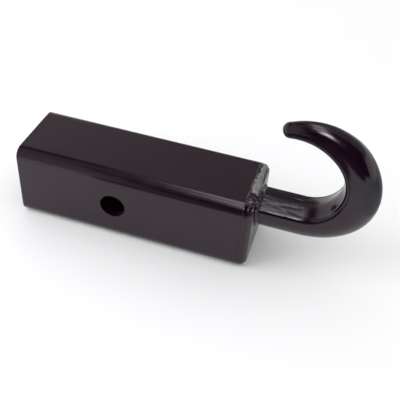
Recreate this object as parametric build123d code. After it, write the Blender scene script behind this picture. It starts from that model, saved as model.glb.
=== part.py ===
from build123d import *

import os
from math import cos, pi, radians, sin, sqrt, tan

# Receiver-mounted recovery tow hook: a square tube, a cap plate, one forged hook and two welds.
# Millimetres. The origin is the middle of the hitch-pin bore, +X runs along the tube towards the
# hook, +Z is up and the tube lies on its flat bottom. The part is symmetric about the XZ plane.

# Square receiver tube
tube_side = 50.8
tube_wall = 4.76
tube_corner_radius = 6.8
tube_length = 146.0
saw_cut_chamfer = 0.5
pin_hole_diameter = 16.5
pin_hole_from_open_end = 64.3

# Cap plate, butted on the tube's hook end
plate_thickness = 6.4
plate_setback = 2.4
shank_hole_clearance = 0.15

# Weld bead round the cap plate, ground round at the front, with the rough pass along its top edge
end_round = 4.5
top_pass_crest = 3.0
top_pass_height = 0.9
top_pass_run_out = 4.0
top_pass_end_gap = 3.4

# Fillet weld round the root of the shank
root_weld_leg = 2.3
root_weld_toe = 0.3

# Forged hook: straight shank
shank_width = 25.4
shank_depth = 21.5
shank_top_above_axis = 18.5
shank_length_outside = 25.8
bowl_draft_angle = 13.0
inner_edge_radius = 3.3
outer_round_part = 0.62

# Forged hook: the bowl's inner line, three tangent arcs with their turns in degrees
bowl_floor_radius = 18.9
bowl_floor_turn = 52.7
bowl_back_radius = 22.6
bowl_back_turn = 87.2
bowl_roof_radius = 33.2
bowl_roof_turn = 56.2

# Forged hook: depth and width at the quarter points of the bend and at the tip
heel_depth = 25.6
heel_width = 24.2
back_depth = 19.5
back_width = 22.5
horn_depth = 14.5
horn_width = 14.8
tip_depth = 7.7
tip_width = 8.6
tip_round_length = 4.2
tip_round_angles = (25, 48, 66)
bend_stations = 49

open_end_x = -pin_hole_from_open_end
tube_end_x = open_end_x + tube_length
plate_face_x = tube_end_x + plate_thickness
bend_start_x = plate_face_x + shank_length_outside
plate_side = tube_side - 2 * plate_setback
plate_corner_radius = tube_corner_radius - plate_setback
end_fillet = min(end_round, 0.9 * plate_thickness, 0.9 * tube_corner_radius)


def square_face(side, corner_radius, x):
    """Rounded square across the tube's axis at x."""
    across = Plane(origin=(x, 0, 0), x_dir=(0, 1, 0), z_dir=(1, 0, 0))
    return across * RectangleRounded(side, side, corner_radius)


def hook_face(plane, depth, width, margin=0.0, inset=0.0):
    """D-shaped section of the forging on a plane whose x axis points out of the bowl.

    The bowl side has a ridge at the parting line, a drafted face to each side of it and rounded
    edges, and the outside is half an ellipse. margin grows the outline all round, and inset
    starts it that far out from the bowl's inner line.
    """
    edge = min(inner_edge_radius, 0.25 * depth, 0.4 * width) + margin
    ridge = inset - margin
    far = inset + depth + margin
    half = width / 2 + margin
    shoulder = far - outer_round_part * depth - margin
    draft = radians(bowl_draft_angle)
    centre = ridge + (half - edge) * tan(draft) + edge / cos(draft)
    foot = (centre - edge * cos(draft), half - edge * (1 - sin(draft)))
    middle = draft / 2 + pi / 4
    bulge = (centre - edge * cos(middle), half - edge * (1 - sin(middle)))
    outline = [
        Line((ridge, 0), foot),
        ThreePointArc(foot, bulge, (centre, half)),
        Line((centre, half), (shoulder, half)),
        EllipticalCenterArc((shoulder, 0), far - shoulder, half, 0, arc_size=90),
        EllipticalCenterArc((shoulder, 0), far - shoulder, half, -90, arc_size=90),
        Line((shoulder, -half), (centre, -half)),
        ThreePointArc((centre, -half), (bulge[0], -bulge[1]), (foot[0], -foot[1])),
        Line((foot[0], -foot[1]), (ridge, 0)),
    ]
    return plane * make_face(outline)


def blend(values, share):
    """Smooth value at a share of the bend, through equally spaced values, level at the shank."""
    spans = len(values) - 1
    slopes = [0.0]
    slopes += [(values[i + 1] - values[i - 1]) / 2 for i in range(1, spans)]
    slopes += [values[-1] - values[-2]]
    i = min(int(share * spans), spans - 1)
    f = share * spans - i
    start = (2 * f**3 - 3 * f**2 + 1) * values[i] + (f**3 - 2 * f**2 + f) * slopes[i]
    end = (3 * f**2 - 2 * f**3) * values[i + 1] + (f**3 - f**2) * slopes[i + 1]
    return start + end


def shank_plane(x):
    """Plane across the shank at x, its own x axis pointing down, away from the bowl."""
    return Plane(origin=(x, 0, shank_top_above_axis), x_dir=(0, 0, -1), z_dir=(1, 0, 0))


def bowl_line():
    """Inner line of the bowl in the XZ plane, from the end of the shank to the tip."""
    with BuildLine(Plane.XZ) as line:
        floor = JernArc((bend_start_x, shank_top_above_axis), (1, 0), bowl_floor_radius, bowl_floor_turn)
        back = JernArc(floor @ 1, floor % 1, bowl_back_radius, bowl_back_turn)
        JernArc(back @ 1, back % 1, bowl_roof_radius, bowl_roof_turn)
    return line.wire()


def station_plane(line, share):
    """Plane across the hook at a share of the bowl line, its x axis pointing out of the bowl."""
    along = line % share
    return Plane(origin=line @ share, x_dir=(along.Z, 0, -along.X), z_dir=along)


def make_receiver_tube():
    tube = extrude(square_face(tube_side, tube_corner_radius, open_end_x), tube_length)
    hollow_side = tube_side - 2 * tube_wall
    hollow_radius = max(tube_corner_radius - tube_wall, 0.5)
    rim = tube.faces().sort_by(Axis.X)[0].edges()
    tube = chamfer(rim, saw_cut_chamfer)
    tube -= extrude(square_face(hollow_side, hollow_radius, open_end_x), tube_length)
    tube -= Rot(90, 0, 0) * Cylinder(pin_hole_diameter / 2, 2 * tube_side)
    return tube


def rounded_end():
    """The tube's outline over the plate's thickness, ground round at the front: plate and bead."""
    end = extrude(square_face(tube_side, tube_corner_radius, tube_end_x), plate_thickness)
    front_outline = end.faces().sort_by(Axis.X)[-1].edges()
    return fillet(front_outline, end_fillet)


def plate_core():
    """Straight-sided prism that parts the plate from the bead round it."""
    return extrude(square_face(plate_side, plate_corner_radius, tube_end_x), plate_thickness)


def make_end_plate():
    plate = rounded_end() & plate_core()
    hole = hook_face(shank_plane(tube_end_x), shank_depth, shank_width, shank_hole_clearance)
    return plate - extrude(hole, plate_thickness)


def make_forged_hook():
    shank_face = hook_face(shank_plane(tube_end_x), shank_depth, shank_width)
    shank = extrude(shank_face, bend_start_x - tube_end_x)
    depths = (shank_depth, heel_depth, back_depth, horn_depth, tip_depth)
    widths = (shank_width, heel_width, back_width, horn_width, tip_width)
    line = bowl_line()
    tip_start = 1 - tip_round_length / line.length
    faces = []
    for i in range(bend_stations):
        share = tip_start * i / (bend_stations - 1)
        faces.append(hook_face(station_plane(line, share), blend(depths, share), blend(widths, share)))
    depth = blend(depths, tip_start)
    width = blend(widths, tip_start)
    for angle in tip_round_angles:
        share = tip_start + (1 - tip_start) * sin(radians(angle))
        size = cos(radians(angle))
        inset = depth * (1 - size) / 2
        faces.append(hook_face(station_plane(line, share), depth * size, width * size, 0, inset))
    return shank + loft(faces, ruled=True)


def make_end_weld():
    """Bead that fills the step between tube and plate, crowned along the top edge."""
    ring = rounded_end() - plate_core()
    top = tube_side / 2
    low = top - plate_setback
    rise = max(end_fillet - plate_setback, 0)
    front_x = plate_face_x - end_fillet + sqrt(end_fillet**2 - rise**2)
    crest = (tube_end_x + top_pass_crest, top + top_pass_height)
    crown = [
        ThreePointArc((tube_end_x, top), crest, (front_x, low)),
        Line((front_x, low), (tube_end_x, low)),
        Line((tube_end_x, low), (tube_end_x, top)),
    ]
    reach = top - top_pass_end_gap
    run = [
        Line((-reach, low), (-reach, top)),
        Line((-reach, top), (top_pass_run_out - reach, crest[1])),
        Line((top_pass_run_out - reach, crest[1]), (reach - top_pass_run_out, crest[1])),
        Line((reach - top_pass_run_out, crest[1]), (reach, top)),
        Line((reach, top), (reach, low)),
        Line((reach, low), (-reach, low)),
    ]
    top_pass = extrude(Plane.XZ * make_face(crown), reach, both=True)
    top_pass &= extrude(Plane.YZ * make_face(run), plate_face_x + plate_thickness)
    return ring + top_pass


def make_shank_weld():
    """Fillet bead round the shank, from the plate's face out along the shank."""
    base = hook_face(shank_plane(plate_face_x), shank_depth, shank_width, root_weld_leg)
    toe_plane = shank_plane(plate_face_x + root_weld_leg)
    toe = hook_face(toe_plane, shank_depth, shank_width, root_weld_toe)
    shank = hook_face(shank_plane(plate_face_x), shank_depth, shank_width)
    return loft([base, toe], ruled=True) - extrude(shank, root_weld_leg)


parts = {
    "receiver_tube": make_receiver_tube(),
    "end_plate": make_end_plate(),
    "forged_hook": make_forged_hook(),
    "end_weld": make_end_weld(),
    "shank_weld": make_shank_weld(),
}
os.makedirs("parts", exist_ok=True)
for name, shape in parts.items():
    export_step(shape, f"parts/{name}.step")
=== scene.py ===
import math

import bmesh
import bpy
from mathutils import Matrix, Vector, noise


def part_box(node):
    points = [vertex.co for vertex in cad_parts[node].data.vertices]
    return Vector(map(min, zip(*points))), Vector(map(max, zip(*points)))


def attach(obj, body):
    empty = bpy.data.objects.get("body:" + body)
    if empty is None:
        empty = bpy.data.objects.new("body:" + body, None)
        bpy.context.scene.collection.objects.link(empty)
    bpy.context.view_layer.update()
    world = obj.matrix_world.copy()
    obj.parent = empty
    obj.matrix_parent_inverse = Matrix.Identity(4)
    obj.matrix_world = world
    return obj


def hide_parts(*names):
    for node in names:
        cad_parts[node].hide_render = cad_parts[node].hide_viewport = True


# Recovery tow hook, painted black. The tube and the cap plate are the CAD's own nodes; a skin for
# the hook and a bead for each weld stand in for the other three nodes. Metres. The origin is the
# middle of the hitch-pin bore, +X runs along the tube towards the hook, +Z is up, and the
# photograph was taken from the -Y side. A name that ends in SPAN holds smooth_step's low and high.

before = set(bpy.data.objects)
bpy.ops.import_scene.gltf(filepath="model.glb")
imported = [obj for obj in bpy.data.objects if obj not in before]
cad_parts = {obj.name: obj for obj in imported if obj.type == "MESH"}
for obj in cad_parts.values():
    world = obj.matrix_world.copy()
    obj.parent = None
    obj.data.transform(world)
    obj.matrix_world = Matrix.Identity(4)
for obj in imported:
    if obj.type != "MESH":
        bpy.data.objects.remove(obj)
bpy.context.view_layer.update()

# Tube and cap plate, as the CAD has them
TUBE_LOW, TUBE_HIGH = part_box("receiver_tube")
PLATE_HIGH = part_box("end_plate")[1]
TUBE_END_X = TUBE_HIGH.x
TUBE_HALF = TUBE_HIGH.z
TUBE_CORNER = 0.0068
PLATE_FACE_X = PLATE_HIGH.x
PLATE_THICKNESS = PLATE_FACE_X - TUBE_END_X
PLATE_SETBACK = TUBE_HIGH.z - PLATE_HIGH.z
FLOOR_Z = TUBE_LOW.z

# Forged hook: straight shank, then three tangent arcs of the bowl's inner line (radius, degrees)
SHANK_TOP_Z = 0.0185
SHANK_OUTSIDE = 0.0258
BEND_START_X = PLATE_FACE_X + SHANK_OUTSIDE
BOWL_ARCS = ((0.0189, 52.7), (0.0226, 87.2), (0.0332, 56.2))
HOOK_DEPTHS = (0.0215, 0.0256, 0.0195, 0.0145, 0.0077)
HOOK_WIDTHS = (0.0254, 0.0242, 0.0225, 0.0148, 0.0086)
TIP_ROUND = 0.0042
TIP_RINGS = 12
TIP_RING_DEGREES = 7.3
STATION_STEP = 0.0007

# Hook's section: a drafted face each side of a blunt ridge, rounded edges, an elliptical outside
BOWL_DRAFT = math.radians(13.0)
INNER_EDGE = 0.0033
EDGE_DEPTH_SHARE = 0.25
EDGE_WIDTH_SHARE = 0.4
OUTER_ROUND_PART = 0.62
SHANK_RIDGE = 0.0010
BEND_RIDGE = 0.0040
RIDGE_WIDTH_SHARE = 0.18
RIDGE_CREST_SHARE = 0.5
RIDGE_CHANGE_SPAN = (-0.002, 0.010)
FACE_STEPS = 24
EDGE_STEPS = 8
SIDE_STEPS = 4
OUTSIDE_STEPS = 16

# Hook's surface under its ideal shape: waves, finer ripples, and streaks along the shank's top
FORGING_SKIN = 0.00005
WAVE_DEPTH = 0.00007
WAVE_SIZE = 0.016
RIPPLE_SHARE = 0.35
RIPPLE_SIZE = 0.0045
STREAK_DEPTH = 0.00013
STREAK_SIZE = 0.0034
STREAK_STRETCH = 0.22
STREAK_END_SPAN = (0.004, -0.002)

# Weld round the plate: ground round at the front, with a rough crowned pass along the top
BEAD_STEPS = 960
GROUND_POINTS = 26
ROUND_STEPS = 10
FACE_RUN_STEPS = 16
END_ROUND = 0.0045
FACE_RUN = 0.0045
UNDERSIDE_INSET = 0.0012
PASS_CREST_X = 0.0030
PASS_HEIGHT = 0.0009
PASS_HALF_LENGTH = 0.0215
PASS_RUN_OUT = 0.006
PASS_FACING_SPAN = (0.3, 0.9)
PASS_TOE = 0.0003
PASS_TOE_WANDER = 0.0006
PASS_TOE_WANDER_SIZE = 0.0032

# Its surface: height of each zone over the ideal shape, roughness, and faint grinding streaks
GROUND_SKIN = -0.00002
PLATE_SKIN = 0.00008
FACE_SKIN = -0.00025
PASS_SKIN = 0.00004
PASS_START_SKIN = -0.00006
PLATE_EDGE_STARTS = 0.8
PLATE_EDGE_RUN = 0.4
FACE_BLEND = 0.0006
ROUGH_COARSE = 0.00020
ROUGH_COARSE_SIZE = 0.0032
ROUGH_FINE = 0.00016
ROUGH_FINE_SIZE = 0.0011
GRINDING_DEPTH = 0.00045
GRINDING_SIZE = 0.0044
GRINDING_STRETCH = (4.0, 0.3, 0.3)
GRINDING_SPAN = (0.0003, 0.0022)

# Crease between the top pass and the plate, and a hollow where the pass ends at the near corner
CREASE_DEPTH = 0.0013
CREASE_HALF_WIDTH = 0.0010
CREASE_SHIFT = 0.0003
CREASE_NEAR_SPAN = (0.002, 0.006)
CREASE_FAR_SPAN = (0.0205, 0.0175)
HOLLOW_DEPTH = 0.0007
HOLLOW_ACROSS_SPAN = (-0.0160, -0.0190)
HOLLOW_UP_SPAN = (0.0180, 0.0222)
HOLLOW_ALONG_SPAN = (0.0003, 0.0024)

# Where the top pass and the plate beside it are rubbed bare of paint; the lumps get a painted
# highlight
BARE_NEAR_SPAN = (-0.0125, -0.0100)
BARE_FAR_SPAN = (0.0215, 0.0180)
BARE_START = 0.0010
BARE_START_WANDER = 0.0008
BARE_START_WANDER_SIZE = 0.0024
BARE_FADE_IN = 0.0006
BARE_FADE_IN_GROWTH = 0.12
BARE_END = 0.0057
BARE_NARROWING = 0.08
BARE_NARROWS_FROM = 0.004
BARE_FADE_OUT = 0.0004
FACE_BARE = 0.62
FACE_BARE_SPAN = (0.0031, 0.0038)
# On the lumps the bare grey is a painted highlight, standing in for lamp glints on their glossy
# paint
LUMP_PAINTED_HIGHLIGHT = 0.52
LUMP_PAINTED_HIGHLIGHT_SPAN = (0.0002, 0.0009)

# Weld lumps at the near top corner as (x, y, z, radius), and their uneven shape
LUMPS = (
    (0.0847, -0.0186, 0.0240, 0.0026), (0.0866, -0.0158, 0.0240, 0.0018),
    (0.0875, -0.0152, 0.0222, 0.0019), (0.0832, -0.0200, 0.0241, 0.0013),
    (0.0862, -0.0190, 0.0232, 0.0016), (0.0882, -0.0132, 0.0196, 0.0018),
    (0.0886, -0.0122, 0.0174, 0.0014), (0.0840, -0.0133, 0.0248, 0.0015),
    (0.0862, -0.0120, 0.0246, 0.0014), (0.0828, -0.0158, 0.0250, 0.0012),
    (0.0878, -0.0105, 0.0232, 0.0015), (0.0879, -0.0170, 0.0198, 0.0015),
)
LUMP_WANDER = 0.22
LUMP_WANDER_SIZE = 0.0013
LUMP_REACH = 3

# Fillet weld round the root of the shank
ROOT_LEG = 0.0023
ROOT_LEG_SHARE = 0.86
ROOT_LEG_WANDER = 0.12
ROOT_LEG_WANDER_SIZE = 0.005
ROOT_BULGE = 0.80
ROOT_RIPPLE = 0.07
ROOT_RIPPLE_SIZE = 0.0016
ROOT_RIPPLE_SHIFT = 0.004
ROOT_TUCK = 0.0004
ROOT_FACE_STEPS = 10
ROOT_SPLIT = 4
ROOT_ARC_STEPS = 12

# Paint: colours, and the noise of its mottling, haze, orange peel and soft waves as (scale,
# detail, roughness), the last two with the height of their bumps
BLACK = (0.0070, 0.0008, 0.0056)
BLACK_LIGHTER = (0.0098, 0.0018, 0.0082)
HOOK_BLACK = (0.0040, 0.0005, 0.0032)
PAINT_IOR = 1.5
PAINT_SPECULAR = (1.0, 0.91, 0.96, 1.0)
MOTTLE_NOISE = (70.0, 4.0, 0.55)
MOTTLE_STOPS = (0.35, 0.68)
HAZE_NOISE = (38.0, 5.0, 0.62)
HAZE_RANGE = (0.3, 0.7)
PEEL_NOISE = (900.0, 2.0, 0.55)
PEEL_HEIGHT = 0.0001
SWELL_NOISE = (55.0, 1.0, 0.55)
SWELL_HEIGHT = 0.001

# Each paint's dark and light colour, low and high roughness, strength of orange peel and of waves
PAINTS = {
    "tube_paint": (BLACK, BLACK_LIGHTER, 0.15, 0.21, 0.06, 0.05),
    "hook_paint": (HOOK_BLACK, BLACK_LIGHTER, 0.13, 0.19, 0.05, 0.06),
    "plate_paint": (BLACK, BLACK_LIGHTER, 0.20, 0.32, 0.25, 0.12),
}

# Weld metal: grey of the bare patches and of the lumps' painted highlights, their noise as above,
# the range of bare value plus noise over which the paint gives way to it, and the bumps' height
# and strength
BARE_AND_HIGHLIGHT_DARK = (0.10, 0.095, 0.093)
BARE_AND_HIGHLIGHT_LIGHT = (0.27, 0.26, 0.255)
BARE_AND_HIGHLIGHT_STOPS = (0.30, 0.70)
BARE_AND_HIGHLIGHT_NOISE = (330.0, 5.0, 0.65)
BARE_AND_HIGHLIGHT_RANGE = (0.95, 1.40)
WELD_ROUGHNESS = (0.20, 0.55)
GRIT_NOISE = (1500.0, 3.0, 0.55)
GRIT_BUMP = (0.0001, 0.25)
CHIP_NOISE = (480.0, 3.0, 0.55)
CHIP_BUMP = (0.0005, 0.5)

# Camera: the photograph's viewpoint
CAMERA_PLACE = (0.12336, -0.30394, 0.27609)
CAMERA_YAW = -13.61
CAMERA_PITCH = 41.398
CAMERA_ROLL = 5.197
CAMERA_LENS = 58.56
CAMERA_SENSOR = 36.0
CAMERA_CLIP_START = 0.01

# Floor: pale, and white for the background's rays from some way off
FLOOR_SIZE = 12.0
FLOOR_COLOUR = (0.965, 0.968, 0.980, 1.0)
FLOOR_ROUGHNESS = 0.9
FLOOR_SPECULAR = 0.1
FLOOR_WHITE_RANGE = (0.10, 0.9)

# Light that falls on everything: the world, a little brighter behind, and a softbox to the left,
# its direction in degrees over the top from the horizon behind and in degrees to the right
WORLD_FRONT = 0.87
WORLD_BACK = 0.91
SOFTBOX_OVER = 108.0
SOFTBOX_ASIDE = -52.0
SOFTBOX_DISTANCE = 1.2
SOFTBOX_SIZE = 0.7
SOFTBOX_RADIANCE = 3.2

# What the paint reflects: a dim ceiling, and cards given by their span in degrees over the top
# and to the right, seen from the studio's centre, their distance, their level, that at their edge
# and the share of their half width over which the level falls to it
STUDIO_CENTRE = (0.11, 0.0, 0.04)
CEILING = (
    (-1.9, -3.0, 1.6), (-0.3, -3.0, 1.6), (4.0, -3.0, 1.6),
    (4.0, 6.0, 1.6), (-0.3, 6.0, 1.6), (-1.9, 6.0, 1.6),
)
CEILING_FACES = ((0, 1, 4, 5), (1, 2, 3, 4))
CEILING_LEVELS = (0.64, 0.38, 0.40, 0.40, 0.38, 0.64)
CEILING_COLOUR = (1.05, 0.97, 0.94, 1.0)
CARD_COLOUR = (0.95, 1.03, 1.04, 1.0)
CARD_STEPS = 16
CARDS = {
    "black_flag": ((104.0, 181.0), (-33.0, 60.0), 1.45, 0.01, 0.01, 0.5),
    "left_flag": ((118.0, 181.0), (-62.0, -33.0), 1.46, 0.60, 0.60, 0.5),
    "low_flag": ((172.0, 188.4), (-29.0, 36.0), 0.42, 0.05, 0.05, 0.5),
    "back_shade": ((5.0, 28.0), (-14.0, 28.0), 1.45, 0.10, 0.42, 0.5),
    "corner_shade": ((43.0, 84.0), (-31.0, -13.0), 1.42, 0.08, 0.40, 0.4),
    "over_shade": ((82.0, 112.0), (-27.0, -14.0), 1.43, 0.12, 0.30, 0.5),
    "over_glow": ((62.0, 103.0), (-13.5, 6.0), 1.40, 3.5, 0.5, 0.5),
    "line_glow": ((97.0, 121.0), (-20.0, 5.0), 1.41, 4.8, 0.2, 0.6),
    "main_glow": ((119.0, 146.0), (-16.5, 4.0), 1.30, 15.5, 0.05, 0.7),
    "side_glow": ((56.0, 104.0), (-6.0, 16.0), 1.43, 0.8, 0.42, 0.5),
    "tip_glow": ((28.0, 46.0), (-80.0, -62.0), 1.30, 5.0, 0.5, 0.8),
}

# Dark mats on the floor, in front of the tube and right of the hook, that only reflections see:
# lines from one (x, y) to another, with the level there
MAT_LIFT = 0.0004
MATS = {
    "front_mat": (
        ((-0.030, -0.080), (0.125, -0.080), 0.70),
        ((-0.045, -0.115), (0.125, -0.115), 0.30),
        ((-0.062, -0.155), (0.125, -0.155), 0.10),
        ((-0.220, -0.600), (0.125, -0.600), 0.03),
    ),
    "right_mat": (
        ((0.200, -0.12), (0.900, -0.45), 0.95),
        ((0.200, -0.03), (0.900, -0.25), 0.75),
        ((0.200, 0.05), (0.900, 0.00), 0.42),
        ((0.200, 0.40), (0.900, 0.80), 0.42),
    ),
}


# Mesh helpers

def ring_faces(rings, count, loop):
    """Quads between successive rings of count points each. loop joins the last to the first."""
    faces = []
    last = rings if loop else rings - 1
    for i in range(last):
        a = i * count
        b = (i + 1) % rings * count
        for j in range(count):
            k = (j + 1) % count
            faces.append((a + j, a + k, b + k, b + j))
    if not loop:
        faces.append(tuple(range(count - 1, -1, -1)))
        faces.append(tuple((rings - 1) * count + j for j in range(count)))
    return faces


def ring_mesh(name, rings, loop=False):
    """Smooth closed piece through successive rings of points."""
    verts = [point for ring in rings for point in ring]
    mesh = bpy.data.meshes.new(name)
    mesh.from_pydata(verts, [], ring_faces(len(rings), len(rings[0]), loop))
    shell = bmesh.new()
    shell.from_mesh(mesh)
    bmesh.ops.recalc_face_normals(shell, faces=shell.faces)
    shell.to_mesh(mesh)
    shell.free()
    for face in mesh.polygons:
        face.use_smooth = True
    piece = bpy.data.objects.new(name, mesh)
    bpy.context.scene.collection.objects.link(piece)
    return piece


def wobble(point, size, octaves=3):
    """Smooth noise from -1 to 1 with features of about that size."""
    return noise.fractal(Vector(point) / size, 1.0, 2.0, octaves, noise_basis="PERLIN_ORIGINAL")


def smooth_step(low, high, value):
    """Smooth rise from 0 at low to 1 at high; high may lie below low."""
    t = min(max((value - low) / (high - low), 0.0), 1.0)
    return t * t * (3 - 2 * t)


# Forged hook

def bowl_station(distance):
    """Point (x, z) and heading of the bowl's inner line at a distance past the straight shank."""
    x = BEND_START_X
    z = SHANK_TOP_Z
    heading = 0.0
    if distance <= 0:
        return x + distance, z, heading
    for radius, degrees in BOWL_ARCS:
        turn = min(distance / radius, math.radians(degrees))
        centre_x = x - radius * math.sin(heading)
        centre_z = z + radius * math.cos(heading)
        heading += turn
        x = centre_x + radius * math.sin(heading)
        z = centre_z - radius * math.cos(heading)
        distance -= radius * turn
        if distance < 1e-9:
            break
    return x, z, heading


def blend(values, share):
    """Smooth value at a share of the bend, through equally spaced values, level at the shank."""
    spans = len(values) - 1
    slopes = [0.0]
    slopes += [(values[i + 1] - values[i - 1]) / 2 for i in range(1, spans)]
    slopes += [values[-1] - values[-2]]
    i = min(int(share * spans), spans - 1)
    f = share * spans - i
    start = (2 * f**3 - 3 * f**2 + 1) * values[i] + (f**3 - 2 * f**2 + f) * slopes[i]
    end = (3 * f**2 - 2 * f**3) * values[i + 1] + (f**3 - f**2) * slopes[i + 1]
    return start + end


def drafted_face(foot, blunt, steps):
    """Half of the bowl's face, from its blunt ridge out to the start of the rounded edge."""
    slope = math.tan(BOWL_DRAFT)
    points = []
    for i in range(steps):
        across = foot * i / steps
        reach = math.hypot(across, blunt)
        normal = Vector((-1.0, slope * across / reach)).normalized()
        rise = slope * (reach - RIDGE_CREST_SHARE * blunt * (1 - i / steps))
        points.append((rise, across, normal.x, normal.y))
    return points


def rounded_edge(centre, half, edge):
    points = []
    for i in range(EDGE_STEPS + 1):
        a = BOWL_DRAFT + (math.pi / 2 - BOWL_DRAFT) * i / EDGE_STEPS
        out = centre - edge * math.cos(a)
        across = half - edge * (1 - math.sin(a))
        points.append((out, across, -math.cos(a), math.sin(a)))
    return points


def elliptical_outside(shoulder, depth, half):
    points = []
    round_depth = depth - shoulder
    for i in range(OUTSIDE_STEPS + 1):
        a = math.radians(90 * i / OUTSIDE_STEPS)
        out = shoulder + round_depth * math.sin(a)
        across = half * math.cos(a)
        normal = Vector((math.sin(a) / round_depth, math.cos(a) / half)).normalized()
        points.append((out, across, normal.x, normal.y))
    return points


def hook_outline(depth, width, ridge=SHANK_RIDGE, face_steps=FACE_STEPS):
    """D-shaped outline as (out, across, normal out, normal across), starting at the ridge."""
    edge = min(INNER_EDGE, EDGE_DEPTH_SHARE * depth, EDGE_WIDTH_SHARE * width)
    half = width / 2
    shoulder = depth - OUTER_ROUND_PART * depth
    centre = (half - edge) * math.tan(BOWL_DRAFT) + edge / math.cos(BOWL_DRAFT)
    foot = half - edge * (1 - math.sin(BOWL_DRAFT))
    right = drafted_face(foot, min(ridge, RIDGE_WIDTH_SHARE * width), face_steps)
    right += rounded_edge(centre, half, edge)
    for i in range(1, SIDE_STEPS):
        right.append((centre + (shoulder - centre) * i / SIDE_STEPS, half, 0.0, 1.0))
    right += elliptical_outside(shoulder, depth, half)
    left = [(out, -across, n_out, -n_across) for out, across, n_out, n_across in right[-2:0:-1]]
    return right + left


def forging_dent(point, across, streaked):
    """Depth of the forging's surface under its ideal shape; streaked is the streaks' share."""
    wave = wobble(point, WAVE_SIZE, 2) * WAVE_DEPTH
    wave += wobble(point, RIPPLE_SIZE, 2) * WAVE_DEPTH * RIPPLE_SHARE
    stretched = (point.x * STREAK_STRETCH, across, 0.0)
    streak = wobble(stretched, STREAK_SIZE, 2) * STREAK_DEPTH * streaked
    return FORGING_SKIN + abs(wave) + abs(streak)


def hook_ring(distance, depth, width, inset=0.0):
    """One ring of the hook's skin, at a distance past the straight shank."""
    x, z, heading = bowl_station(distance)
    out_x = math.sin(heading)
    out_z = -math.cos(heading)
    ridge = SHANK_RIDGE + (BEND_RIDGE - SHANK_RIDGE) * smooth_step(*RIDGE_CHANGE_SPAN, distance)
    on_shank = smooth_step(*STREAK_END_SPAN, distance)
    ring = []
    for out, across, n_out, n_across in hook_outline(depth, width, ridge):
        out += inset
        point = Vector((x + out * out_x, across, z + out * out_z))
        normal = Vector((n_out * out_x, n_across, n_out * out_z))
        ring.append(point - normal * forging_dent(point, across, on_shank * max(-n_out, 0.0)))
    return ring


def make_hook():
    bend_length = sum(radius * math.radians(degrees) for radius, degrees in BOWL_ARCS)
    tip_start = bend_length - TIP_ROUND
    shank_length = BEND_START_X - TUBE_END_X
    steps = round((shank_length + tip_start) / STATION_STEP)
    rings = []
    for i in range(steps + 1):
        distance = -shank_length + (shank_length + tip_start) * i / steps
        share = max(distance, 0.0) / bend_length
        rings.append(hook_ring(distance, blend(HOOK_DEPTHS, share), blend(HOOK_WIDTHS, share)))
    depth = blend(HOOK_DEPTHS, tip_start / bend_length)
    width = blend(HOOK_WIDTHS, tip_start / bend_length)
    for i in range(1, TIP_RINGS + 1):
        angle = math.radians(TIP_RING_DEGREES * i)
        distance = tip_start + TIP_ROUND * math.sin(angle)
        size = math.cos(angle)
        inset = depth * (1 - size) / 2
        rings.append(hook_ring(distance, depth * size, width * size, inset))
    hook = ring_mesh("forged_hook_skin", rings)
    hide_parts("forged_hook")
    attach(hook, "root")
    return hook


# Weld bead round the cap plate. Its profile runs along the tube and, with a negative height up,
# down into the corner that the plate's setback leaves, then down the plate's face.

def square_point(position, inset):
    """Point (y, z) and outward normal on a rounded square, at a share of the way round it.

    The share starts in the middle of the top edge and runs towards the camera's side.
    """
    half = TUBE_HALF - inset
    radius = max(TUBE_CORNER - inset, 0.0005)
    flat = 2 * (TUBE_HALF - TUBE_CORNER)
    side = flat + math.pi / 2 * TUBE_CORNER
    along = (position % 1.0) * 4 * side + flat / 2
    quarter = int(along // side)
    along -= quarter * side
    if along <= flat:
        local = Vector((along - flat / 2, half))
        normal = Vector((0.0, 1.0))
    else:
        a = (along - flat) / TUBE_CORNER
        corner = half - radius
        local = Vector((corner + radius * math.sin(a), corner + radius * math.cos(a)))
        normal = Vector((math.sin(a), math.cos(a)))
    c = math.cos(quarter * math.pi / 2)
    s = math.sin(quarter * math.pi / 2)
    point = Vector((-local.x * c - local.y * s, -local.x * s + local.y * c))
    normal = Vector((-normal.x * c - normal.y * s, -normal.x * s + normal.y * c))
    return point, normal


def arc_through(start, middle, end, count):
    """Points of the arc through three (along, up) points, with the outward normal at each."""
    ax, ay = start
    bx, by = middle
    cx, cy = end
    twice = 2 * (ax * (by - cy) + bx * (cy - ay) + cx * (ay - by))
    squares = (ax * ax + ay * ay, bx * bx + by * by, cx * cx + cy * cy)
    x = (squares[0] * (by - cy) + squares[1] * (cy - ay) + squares[2] * (ay - by)) / twice
    y = (squares[0] * (cx - bx) + squares[1] * (ax - cx) + squares[2] * (bx - ax)) / twice
    radius = math.hypot(ax - x, ay - y)
    first = math.atan2(ay - y, ax - x)
    last = math.atan2(cy - y, cx - x)
    points = []
    for i in range(count):
        a = first + (last - first) * i / (count - 1)
        c = math.cos(a)
        s = math.sin(a)
        points.append((x + radius * c, y + radius * s, c, s))
    return points


def plate_edge_angle():
    """How far round the ground front the plate's edge lies."""
    return math.acos(1 - PLATE_SETBACK / END_ROUND)


def ground_profile():
    """The ground surface from the tube's end to the plate's edge, as arc_through gives it."""
    flat = PLATE_THICKNESS - END_ROUND
    length = flat + END_ROUND * plate_edge_angle()
    points = []
    for i in range(GROUND_POINTS):
        run = length * i / (GROUND_POINTS - 1)
        a = max(run - flat, 0.0) / END_ROUND
        along = min(run, flat) + END_ROUND * math.sin(a)
        points.append((along, END_ROUND * (math.cos(a) - 1), math.sin(a), math.cos(a)))
    return points


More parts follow.
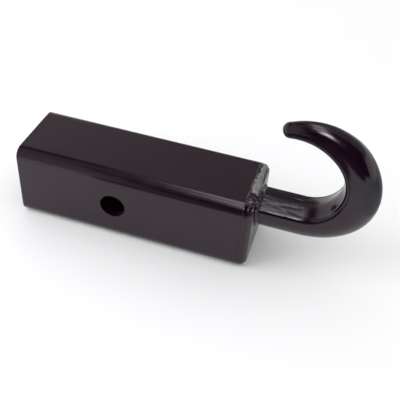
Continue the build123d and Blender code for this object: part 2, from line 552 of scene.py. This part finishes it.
def plate_profile():
    """From the plate's edge over its ground round and down its face."""
    edge_angle = plate_edge_angle()
    points = []
    for i in range(1, ROUND_STEPS + 1):
        a = edge_angle + (math.pi / 2 - edge_angle) * i / ROUND_STEPS
        along = PLATE_THICKNESS - END_ROUND * (1 - math.sin(a))
        points.append((along, END_ROUND * (math.cos(a) - 1), math.sin(a), math.cos(a)))
    for i in range(1, FACE_RUN_STEPS + 1):
        points.append((PLATE_THICKNESS, -END_ROUND - FACE_RUN * i / FACE_RUN_STEPS, 1.0, 0.0))
    return points


GROUND_PROFILE = ground_profile()
PLATE_PROFILE = plate_profile()
PASS_FOOT = GROUND_PROFILE[-1][:2]


def crown_share(base, edge_normal):
    """Share of the top pass in the profile at a point (y, z) of the tube's outline."""
    facing_up = smooth_step(*PASS_FACING_SPAN, edge_normal.y)
    ran_out = smooth_step(PASS_HALF_LENGTH - PASS_RUN_OUT, PASS_HALF_LENGTH, abs(base.x))
    return facing_up * (1 - ran_out)


def crease_share(y):
    return smooth_step(*CREASE_NEAR_SPAN, y) * smooth_step(*CREASE_FAR_SPAN, y)


def bead_profile(base, crown):
    """Profile of the bead at one place: ground, and crowned by the share of the top pass."""
    wander = wobble((0.0, base.x, 0.3), PASS_TOE_WANDER_SIZE)
    toe = crown * (PASS_TOE + PASS_TOE_WANDER * wander)
    crest = (PASS_CREST_X, PASS_HEIGHT)
    crowned = arc_through((-toe, 0.0), crest, PASS_FOOT, GROUND_POINTS)
    mixed = []
    for ground, top in zip(GROUND_PROFILE, crowned):
        mixed.append(tuple(a + (b - a) * crown for a, b in zip(ground, top)))
    return mixed + PLATE_PROFILE


def bead_place(position, point):
    """Place of a profile's point at a share of the way round, and the direction out of it."""
    along, up, n_along, n_up = point
    flat_point, normal = square_point(position, max(-up, 0.0))
    place = Vector((TUBE_END_X + along, flat_point.x, flat_point.y))
    place += Vector((0.0, normal.x, normal.y)) * max(up, 0.0)
    direction = Vector((n_along, normal.x * n_up, normal.y * n_up)).normalized()
    return place, direction


def surface_run(along, up):
    """Rough distance along the bead's surface, from its place along the tube and its height."""
    return along + max(-up, 0.0)


def plate_share(up):
    """0 on the bead, 1 where the profile has come to the plate."""
    past_edge = -up - PLATE_SETBACK * PLATE_EDGE_STARTS
    return smooth_step(0.0, PLATE_SETBACK * PLATE_EDGE_RUN, past_edge)


def ground_lift(base, along, up):
    """Height of the ground surface over its ideal shape: streaks, and a step down to the plate."""
    spot = (along, base.x, base.y)
    stretched = [value * stretch for value, stretch in zip(spot, GRINDING_STRETCH)]
    streak = abs(wobble(stretched, GRINDING_SIZE, 2) * GRINDING_DEPTH)
    on_plate = plate_share(up)
    on_face = smooth_step(0.0, FACE_BLEND, -up - END_ROUND)
    lift = GROUND_SKIN - smooth_step(*GRINDING_SPAN, along) * streak * (1 - on_plate)
    return lift + PLATE_SKIN * on_plate + FACE_SKIN * on_face


def crease_depth(base, along, up):
    from_middle = surface_run(along, up) - surface_run(*PASS_FOOT) + CREASE_SHIFT
    groove = smooth_step(CREASE_HALF_WIDTH, 0.0, abs(from_middle))
    return CREASE_DEPTH * groove * crease_share(base.x)


def hollow_depth(base, along):
    across = smooth_step(*HOLLOW_ACROSS_SPAN, base.x)
    upward = smooth_step(*HOLLOW_UP_SPAN, base.y)
    return HOLLOW_DEPTH * across * upward * smooth_step(*HOLLOW_ALONG_SPAN, along)


def bead_lift(place, base, along, up, crown):
    """Height of the bead's surface over its profile, before the lumps."""
    rough = wobble(place, ROUGH_COARSE_SIZE, 2) * ROUGH_COARSE
    rough += wobble(place, ROUGH_FINE_SIZE, 3) * ROUGH_FINE
    ground = ground_lift(base, along, up)
    lift = ground + (rough + PASS_SKIN - ground) * crown * (1 - plate_share(up))
    return lift - crease_depth(base, along, up) - hollow_depth(base, along)


def lump_lift(place, direction, lift):
    """Lift along the direction, raised to the outside of any weld lump that the line passes."""
    for x, y, z, radius in LUMPS:
        offset = place - Vector((x, y, z))
        if offset.length > LUMP_REACH * radius:
            continue
        radius *= 1 + LUMP_WANDER * wobble(place, LUMP_WANDER_SIZE, 2)
        half = offset.dot(direction)
        root = half * half - offset.length_squared + radius * radius
        if root > 0:
            lift = max(lift, math.sqrt(root) - half)
    return lift


def bare_and_highlight_share(base, along, up, lumped):
    """How bare a point of the bead is, plus the lumps' painted highlight; lumped is how far lumps
    raise it.
    """
    y = base.x
    start = BARE_START + BARE_START_WANDER * wobble((0.0, y, 0.7), BARE_START_WANDER_SIZE)
    full = start + BARE_FADE_IN + BARE_FADE_IN_GROWTH * max(y, 0.0)
    end = BARE_END - BARE_NARROWING * max(y - BARE_NARROWS_FROM, 0.0)
    lengthwise = smooth_step(*BARE_NEAR_SPAN, y) * smooth_step(*BARE_FAR_SPAN, y)
    across = smooth_step(start, full, along) * smooth_step(end, end - BARE_FADE_OUT, along)
    on_top = lengthwise * across * (1 - plate_share(up))
    on_face = FACE_BARE * crease_share(y) * smooth_step(*FACE_BARE_SPAN, -up)
    # Grey painted on the lumps as their highlight
    lump_painted_highlight = LUMP_PAINTED_HIGHLIGHT * smooth_step(*LUMP_PAINTED_HIGHLIGHT_SPAN, lumped)
    return max(on_top, on_face, lump_painted_highlight)


def bead_underside(position):
    """The two points that close a ring of the bead under the surface."""
    behind_face = (PLATE_THICKNESS - UNDERSIDE_INSET, END_ROUND + FACE_RUN)
    at_tube = (0.0, PLATE_SETBACK)
    points = []
    for along, inset in (behind_face, at_tube):
        flat_point = square_point(position, inset)[0]
        points.append(Vector((TUBE_END_X + along, flat_point.x, flat_point.y)))
    return points


def bead_ring(position):
    """One ring of the bead at a share of the way round, and each point's bare grey and painted
    highlight.
    """
    base, edge_normal = square_point(position, 0.0)
    crown = crown_share(base, edge_normal)
    ring = []
    bare_and_highlight = []
    for point in bead_profile(base, crown):
        along, up = point[:2]
        place, direction = bead_place(position, point)
        lift = bead_lift(place, base, along, up, crown)
        lumped = lump_lift(place, direction, lift) - lift
        if ring:
            lift += lumped
        elif crown > 0:
            lift = PASS_START_SKIN
        ring.append(place + direction * lift)
        bare_and_highlight.append(bare_and_highlight_share(base, along, up, lumped))
    underside = bead_underside(position)
    return ring + underside, bare_and_highlight + [0.0] * len(underside)


def make_end_bead():
    rings = []
    bare_and_highlight = []
    for i in range(BEAD_STEPS):
        ring, ring_bare_and_highlight = bead_ring(i / BEAD_STEPS)
        rings.append(ring)
        bare_and_highlight += ring_bare_and_highlight
    bead = ring_mesh("end_weld_bead", rings, loop=True)
    # Share of bare grey at each point, with the lumps' painted highlight
    attribute = bead.data.attributes.new("bare_and_highlight", "FLOAT", "POINT")
    attribute.data.foreach_set("value", bare_and_highlight)
    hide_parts("end_weld")
    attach(bead, "root")
    return bead


# Fillet weld round the root of the shank

def root_outline():
    """The shank's outline with each of its steps split evenly into shorter ones."""
    outline = hook_outline(HOOK_DEPTHS[0], HOOK_WIDTHS[0], face_steps=ROOT_FACE_STEPS)
    points = []
    for start, end in zip(outline, outline[1:] + outline[:1]):
        for i in range(ROOT_SPLIT):
            f = i / ROOT_SPLIT
            points.append([a + (b - a) * f for a, b in zip(start, end)])
    return points


def root_ring(place, normal):
    """One ring of the root bead: its rippled face, then three points inside plate and shank."""
    forward = Vector((1.0, 0.0, 0.0))
    size = ROOT_LEG * (ROOT_LEG_SHARE + ROOT_LEG_WANDER * wobble(place, ROOT_LEG_WANDER_SIZE))
    ring = []
    for i in range(ROOT_ARC_STEPS + 1):
        a = math.radians(90 * i / ROOT_ARC_STEPS)
        shifted = place + forward * (ROOT_RIPPLE_SHIFT * i / ROOT_ARC_STEPS)
        bulge = ROOT_BULGE + ROOT_RIPPLE * wobble(shifted, ROOT_RIPPLE_SIZE)
        reach = size * (bulge if 0 < i < ROOT_ARC_STEPS else 1.0)
        ring.append(place + normal * reach * math.cos(a) + forward * (reach * math.sin(a)))
    ring.append(place + forward * size - normal * ROOT_TUCK)
    ring.append(place - forward * ROOT_TUCK - normal * ROOT_TUCK)
    ring.append(place - forward * ROOT_TUCK + normal * size)
    return ring


def make_root_bead():
    rings = []
    for out, across, n_out, n_across in root_outline():
        place = Vector((PLATE_FACE_X, across, SHANK_TOP_Z - out))
        rings.append(root_ring(place, Vector((0.0, n_across, -n_out)).normalized()))
    bead = ring_mesh("shank_weld_bead", rings, loop=True)
    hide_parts("shank_weld")
    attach(bead, "root")
    return bead


# Materials

def new_material(name):
    material = bpy.data.materials.new(name)
    material.use_nodes = True
    nodes = material.node_tree.nodes
    nodes.clear()
    output = nodes.new("ShaderNodeOutputMaterial")
    shader = nodes.new("ShaderNodeBsdfPrincipled")
    material.node_tree.links.new(shader.outputs["BSDF"], output.inputs["Surface"])
    return material, shader


def add_node(material, kind, **values):
    """New shader node. Values are its properties, or its sockets where it has no such property."""
    node = material.node_tree.nodes.new(kind)
    for key, value in values.items():
        if hasattr(node, key):
            setattr(node, key, value)
        else:
            node.inputs[key.replace("_", " ")].default_value = value
    return node


def connect(material, source, target, socket, output=0):
    material.node_tree.links.new(source.outputs[output], target.inputs[socket])


def noise_node(material, coordinates, values):
    scale, detail, roughness = values
    node = add_node(
        material, "ShaderNodeTexNoise", Scale=scale, Detail=detail, Roughness=roughness
    )
    connect(material, coordinates, node, "Vector", "Object")
    return node


def ramp_node(material, source, stops, colours):
    """Colour ramp between two colours, one at each stop."""
    node = add_node(material, "ShaderNodeValToRGB")
    for element, position, colour in zip(node.color_ramp.elements, stops, colours):
        element.position = position
        element.color = (*colour, 1.0)
    connect(material, source, node, "Fac")
    return node


def range_node(material, source, source_range, low, high, output=0):
    """Value going from low to high while the source goes through its range."""
    start, end = source_range
    node = add_node(material, "ShaderNodeMapRange")
    node.inputs["From Min"].default_value = start
    node.inputs["From Max"].default_value = end
    node.inputs["To Min"].default_value = low
    node.inputs["To Max"].default_value = high
    connect(material, source, node, "Value", output)
    return node


def bump_chain(material, shader, layers):
    """Bumps one on another; layers are (height source, distance in metres, strength)."""
    last = None
    for source, distance, strength in layers:
        bump = add_node(material, "ShaderNodeBump", Distance=distance, Strength=strength)
        connect(material, source, bump, "Height")
        if last is not None:
            connect(material, last, bump, "Normal")
        last = bump
    connect(material, last, shader, "Normal")


def finish_paint(shader):
    shader.inputs["IOR"].default_value = PAINT_IOR
    shader.inputs["Specular Tint"].default_value = PAINT_SPECULAR


def paint_material(name, dark, light, rough_low, rough_high, peel, waves):
    """Satin black paint: faint mottling, patches of haze, orange peel and soft waves."""
    material, shader = new_material(name)
    coordinates = add_node(material, "ShaderNodeTexCoord")
    mottle = noise_node(material, coordinates, MOTTLE_NOISE)
    colour = ramp_node(material, mottle, MOTTLE_STOPS, (dark, light))
    connect(material, colour, shader, "Base Color")
    haze = noise_node(material, coordinates, HAZE_NOISE)
    rough = range_node(material, haze, HAZE_RANGE, rough_low, rough_high)
    connect(material, rough, shader, "Roughness")
    orange_peel = noise_node(material, coordinates, PEEL_NOISE)
    swell = noise_node(material, coordinates, SWELL_NOISE)
    layers = ((swell, SWELL_HEIGHT, waves), (orange_peel, PEEL_HEIGHT, peel))
    bump_chain(material, shader, layers)
    finish_paint(shader)
    return material


def weld_material(name):
    """Black paint over weld metal, grey where the mesh's value says: rubbed bare, and painted lump
    highlights.
    """
    material, shader = new_material(name)
    coordinates = add_node(material, "ShaderNodeTexCoord")
    bare_and_highlight = add_node(material, "ShaderNodeAttribute", attribute_name="bare_and_highlight")
    patches = noise_node(material, coordinates, BARE_AND_HIGHLIGHT_NOISE)
    spread = add_node(material, "ShaderNodeMath", operation="ADD")
    connect(material, bare_and_highlight, spread, 0, "Fac")
    connect(material, patches, spread, 1, "Fac")
    # Grey where the paint is rubbed off, and a painted highlight on the lumps
    worn_and_highlight = range_node(material, spread, BARE_AND_HIGHLIGHT_RANGE, 0.0, 1.0)
    grey = ramp_node(material, patches, BARE_AND_HIGHLIGHT_STOPS, (BARE_AND_HIGHLIGHT_DARK, BARE_AND_HIGHLIGHT_LIGHT))
    colour = add_node(material, "ShaderNodeMix", data_type="RGBA")
    colour.inputs["A"].default_value = (*BLACK, 1.0)
    connect(material, worn_and_highlight, colour, "Factor")
    connect(material, grey, colour, "B")
    connect(material, colour, shader, "Base Color", "Result")
    rough = range_node(material, worn_and_highlight, (0.0, 1.0), *WELD_ROUGHNESS)
    connect(material, rough, shader, "Roughness")
    grit = noise_node(material, coordinates, GRIT_NOISE)
    chips = noise_node(material, coordinates, CHIP_NOISE)
    worn_depth = add_node(material, "ShaderNodeMath", operation="MULTIPLY")
    connect(material, chips, worn_depth, 0, "Fac")
    connect(material, worn_and_highlight, worn_depth, 1)
    bump_chain(material, shader, ((worn_depth, *CHIP_BUMP), (grit, *GRIT_BUMP)))
    finish_paint(shader)
    return material


def set_material(piece, material):
    piece.data.materials.clear()
    piece.data.materials.append(material)


def dress():
    """The three pieces that stand in for CAD nodes, and the material of each visible piece."""
    end_bead = make_end_bead()
    root_bead = make_root_bead()
    hook = make_hook()
    paints = {name: paint_material(name, *values) for name, values in PAINTS.items()}
    weld_paint = weld_material("weld_paint")
    set_material(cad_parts["receiver_tube"], paints["tube_paint"])
    set_material(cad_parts["end_plate"], paints["plate_paint"])
    set_material(hook, paints["hook_paint"])
    set_material(end_bead, weld_paint)
    set_material(root_bead, weld_paint)


# Studio: pale floor, soft world, cards and mats for the reflections, softbox and camera

def white_rays(tree):
    """Node that gives 1 for the rays that show white: camera, glossy and transmission."""
    path = tree.nodes.new("ShaderNodeLightPath")
    last = path
    socket = "Is Camera Ray"
    for added in ("Is Glossy Ray", "Is Transmission Ray"):
        node = tree.nodes.new("ShaderNodeMath")
        node.operation = "MAXIMUM"
        tree.links.new(last.outputs[socket], node.inputs[0])
        tree.links.new(path.outputs[added], node.inputs[1])
        last = node
        socket = "Value"
    return last


def make_floor():
    bpy.ops.mesh.primitive_plane_add(size=FLOOR_SIZE, location=(0.0, 0.0, FLOOR_Z))
    floor = bpy.context.object
    floor.name = "floor"
    material, shader = new_material("floor")
    shader.inputs["Base Color"].default_value = FLOOR_COLOUR
    shader.inputs["Roughness"].default_value = FLOOR_ROUGHNESS
    shader.inputs["Specular IOR Level"].default_value = FLOOR_SPECULAR
    white = add_node(material, "ShaderNodeEmission")
    place = add_node(material, "ShaderNodeTexCoord")
    distance = add_node(material, "ShaderNodeVectorMath", operation="LENGTH")
    connect(material, place, distance, 0, "Object")
    far = range_node(material, distance, FLOOR_WHITE_RANGE, 0.0, 1.0, "Value")
    shown = add_node(material, "ShaderNodeMath", operation="MULTIPLY")
    connect(material, far, shown, 0)
    connect(material, white_rays(material.node_tree), shown, 1)
    mix = add_node(material, "ShaderNodeMixShader")
    connect(material, shown, mix, "Fac")
    connect(material, shader, mix, 1)
    connect(material, white, mix, 2)
    output = next(n for n in material.node_tree.nodes if n.type == "OUTPUT_MATERIAL")
    connect(material, mix, output, "Surface")
    set_material(floor, material)


def make_world():
    """Even soft light from all round; white wherever the camera or a reflection sees it."""
    world = bpy.data.worlds.new("studio")
    world.use_nodes = True
    bpy.context.scene.world = world
    nodes = world.node_tree.nodes
    links = world.node_tree.links
    nodes.clear()
    output = nodes.new("ShaderNodeOutputWorld")
    background = nodes.new("ShaderNodeBackground")
    place = nodes.new("ShaderNodeTexCoord")
    parts = nodes.new("ShaderNodeSeparateXYZ")
    links.new(place.outputs["Generated"], parts.inputs["Vector"])
    level = nodes.new("ShaderNodeMapRange")
    level.inputs["From Min"].default_value = -1.0
    level.inputs["To Min"].default_value = WORLD_FRONT
    level.inputs["To Max"].default_value = WORLD_BACK
    links.new(parts.outputs["Y"], level.inputs["Value"])
    shown = nodes.new("ShaderNodeMix")
    shown.inputs["B"].default_value = 1.0
    links.new(white_rays(world.node_tree).outputs["Value"], shown.inputs["Factor"])
    links.new(level.outputs["Result"], shown.inputs["A"])
    links.new(shown.outputs["Result"], background.inputs["Color"])
    links.new(background.outputs["Background"], output.inputs["Surface"])


def studio_direction(over, aside):
    """Direction given by degrees over the top from the horizon behind and degrees to the right."""
    over = math.radians(over)
    aside = math.radians(aside)
    yaw = math.radians(CAMERA_YAW)
    behind = Vector((math.sin(yaw), math.cos(yaw), 0.0))
    right = Vector((math.cos(yaw), -math.sin(yaw), 0.0))
    up = Vector((0.0, 0.0, 1.0))
    upright = behind * math.cos(over) + up * math.sin(over)
    return upright * math.cos(aside) + right * math.sin(aside)


def make_reflected(name, points, faces, levels, colour):
    """Surface with a brightness at each point, that only reflections see."""
    mesh = bpy.data.meshes.new(name)
    mesh.from_pydata(points, [], faces)
    attribute = mesh.attributes.new("level", "FLOAT", "POINT")
    attribute.data.foreach_set("value", levels)
    card = bpy.data.objects.new(name, mesh)
    bpy.context.scene.collection.objects.link(card)
    card.visible_camera = False
    card.visible_diffuse = False
    card.visible_shadow = False
    card.visible_transmission = False
    material, shader = new_material(name)
    shader.inputs["Base Color"].default_value = (0.0, 0.0, 0.0, 1.0)
    shader.inputs["Specular IOR Level"].default_value = 0.0
    shader.inputs["Emission Color"].default_value = colour
    level = add_node(material, "ShaderNodeAttribute", attribute_name="level")
    connect(material, level, shader, "Emission Strength", "Fac")
    set_material(card, material)


def make_card(name, over_span, aside_span, distance, level, edge_level, softness):
    """Card spanning some degrees over the top and aside, its level falling off to its edge's."""
    points = []
    levels = []
    faces = []
    shares = [i / CARD_STEPS for i in range(CARD_STEPS + 1)]
    for u in shares:
        over = over_span[0] + (over_span[1] - over_span[0]) * u
        inside_u = smooth_step(0.0, softness, 2 * min(u, 1 - u))
        for v in shares:
            aside = aside_span[0] + (aside_span[1] - aside_span[0]) * v
            inside_v = smooth_step(0.0, softness, 2 * min(v, 1 - v))
            points.append(Vector(STUDIO_CENTRE) + studio_direction(over, aside) * distance)
            levels.append(edge_level + (level - edge_level) * inside_u * inside_v)
    for i in range(CARD_STEPS):
        for j in range(CARD_STEPS):
            a = i * (CARD_STEPS + 1) + j
            faces.append((a, a + 1, a + CARD_STEPS + 2, a + CARD_STEPS + 1))
    make_reflected(name, points, faces, levels, CARD_COLOUR)


def make_mat(name, lines):
    points = []
    levels = []
    for start, end, level in lines:
        points += [(*start, FLOOR_Z + MAT_LIFT), (*end, FLOOR_Z + MAT_LIFT)]
        levels += [level, level]
    faces = [(i, i + 1, i + 3, i + 2) for i in range(0, len(points) - 2, 2)]
    make_reflected(name, points, faces, levels, CARD_COLOUR)


def make_softbox():
    """Large soft lamp to the left, for light and shadow only: the cards are what reflects."""
    lamp = bpy.data.lights.new("softbox", "AREA")
    lamp.shape = "SQUARE"
    lamp.size = SOFTBOX_SIZE
    lamp.energy = SOFTBOX_RADIANCE * math.pi * SOFTBOX_SIZE**2
    holder = bpy.data.objects.new("softbox", lamp)
    bpy.context.scene.collection.objects.link(holder)
    direction = studio_direction(SOFTBOX_OVER, SOFTBOX_ASIDE)
    holder.location = Vector(STUDIO_CENTRE) + direction * SOFTBOX_DISTANCE
    holder.rotation_mode = "QUATERNION"
    holder.rotation_quaternion = direction.to_track_quat("Z", "Y")
    holder.visible_glossy = False


def make_camera():
    yaw = math.radians(CAMERA_YAW)
    pitch = math.radians(CAMERA_PITCH)
    roll = math.radians(CAMERA_ROLL)
    level_ahead = Vector((math.sin(yaw), math.cos(yaw), 0.0))
    level_right = Vector((math.cos(yaw), -math.sin(yaw), 0.0))
    forward = level_ahead * math.cos(pitch) - Vector((0.0, 0.0, math.sin(pitch)))
    level_up = level_right.cross(forward)
    right = math.cos(roll) * level_right + math.sin(roll) * level_up
    up = math.cos(roll) * level_up - math.sin(roll) * level_right
    camera = bpy.data.objects.new("camera", bpy.data.cameras.new("camera"))
    bpy.context.scene.collection.objects.link(camera)
    camera.data.lens = CAMERA_LENS
    camera.data.sensor_width = CAMERA_SENSOR
    camera.data.clip_start = CAMERA_CLIP_START
    turn = Matrix((right, up, -forward)).transposed().to_4x4()
    camera.matrix_world = Matrix.Translation(CAMERA_PLACE) @ turn
    bpy.context.scene.camera = camera


def make_studio():
    make_floor()
    make_world()
    make_reflected("ceiling", CEILING, CEILING_FACES, CEILING_LEVELS, CEILING_COLOUR)
    for name, values in CARDS.items():
        make_card(name, *values)
    for name, lines in MATS.items():
        make_mat(name, lines)
    make_softbox()
    make_camera()
    bpy.context.scene.view_settings.view_transform = "Standard"


dress()
make_studio()
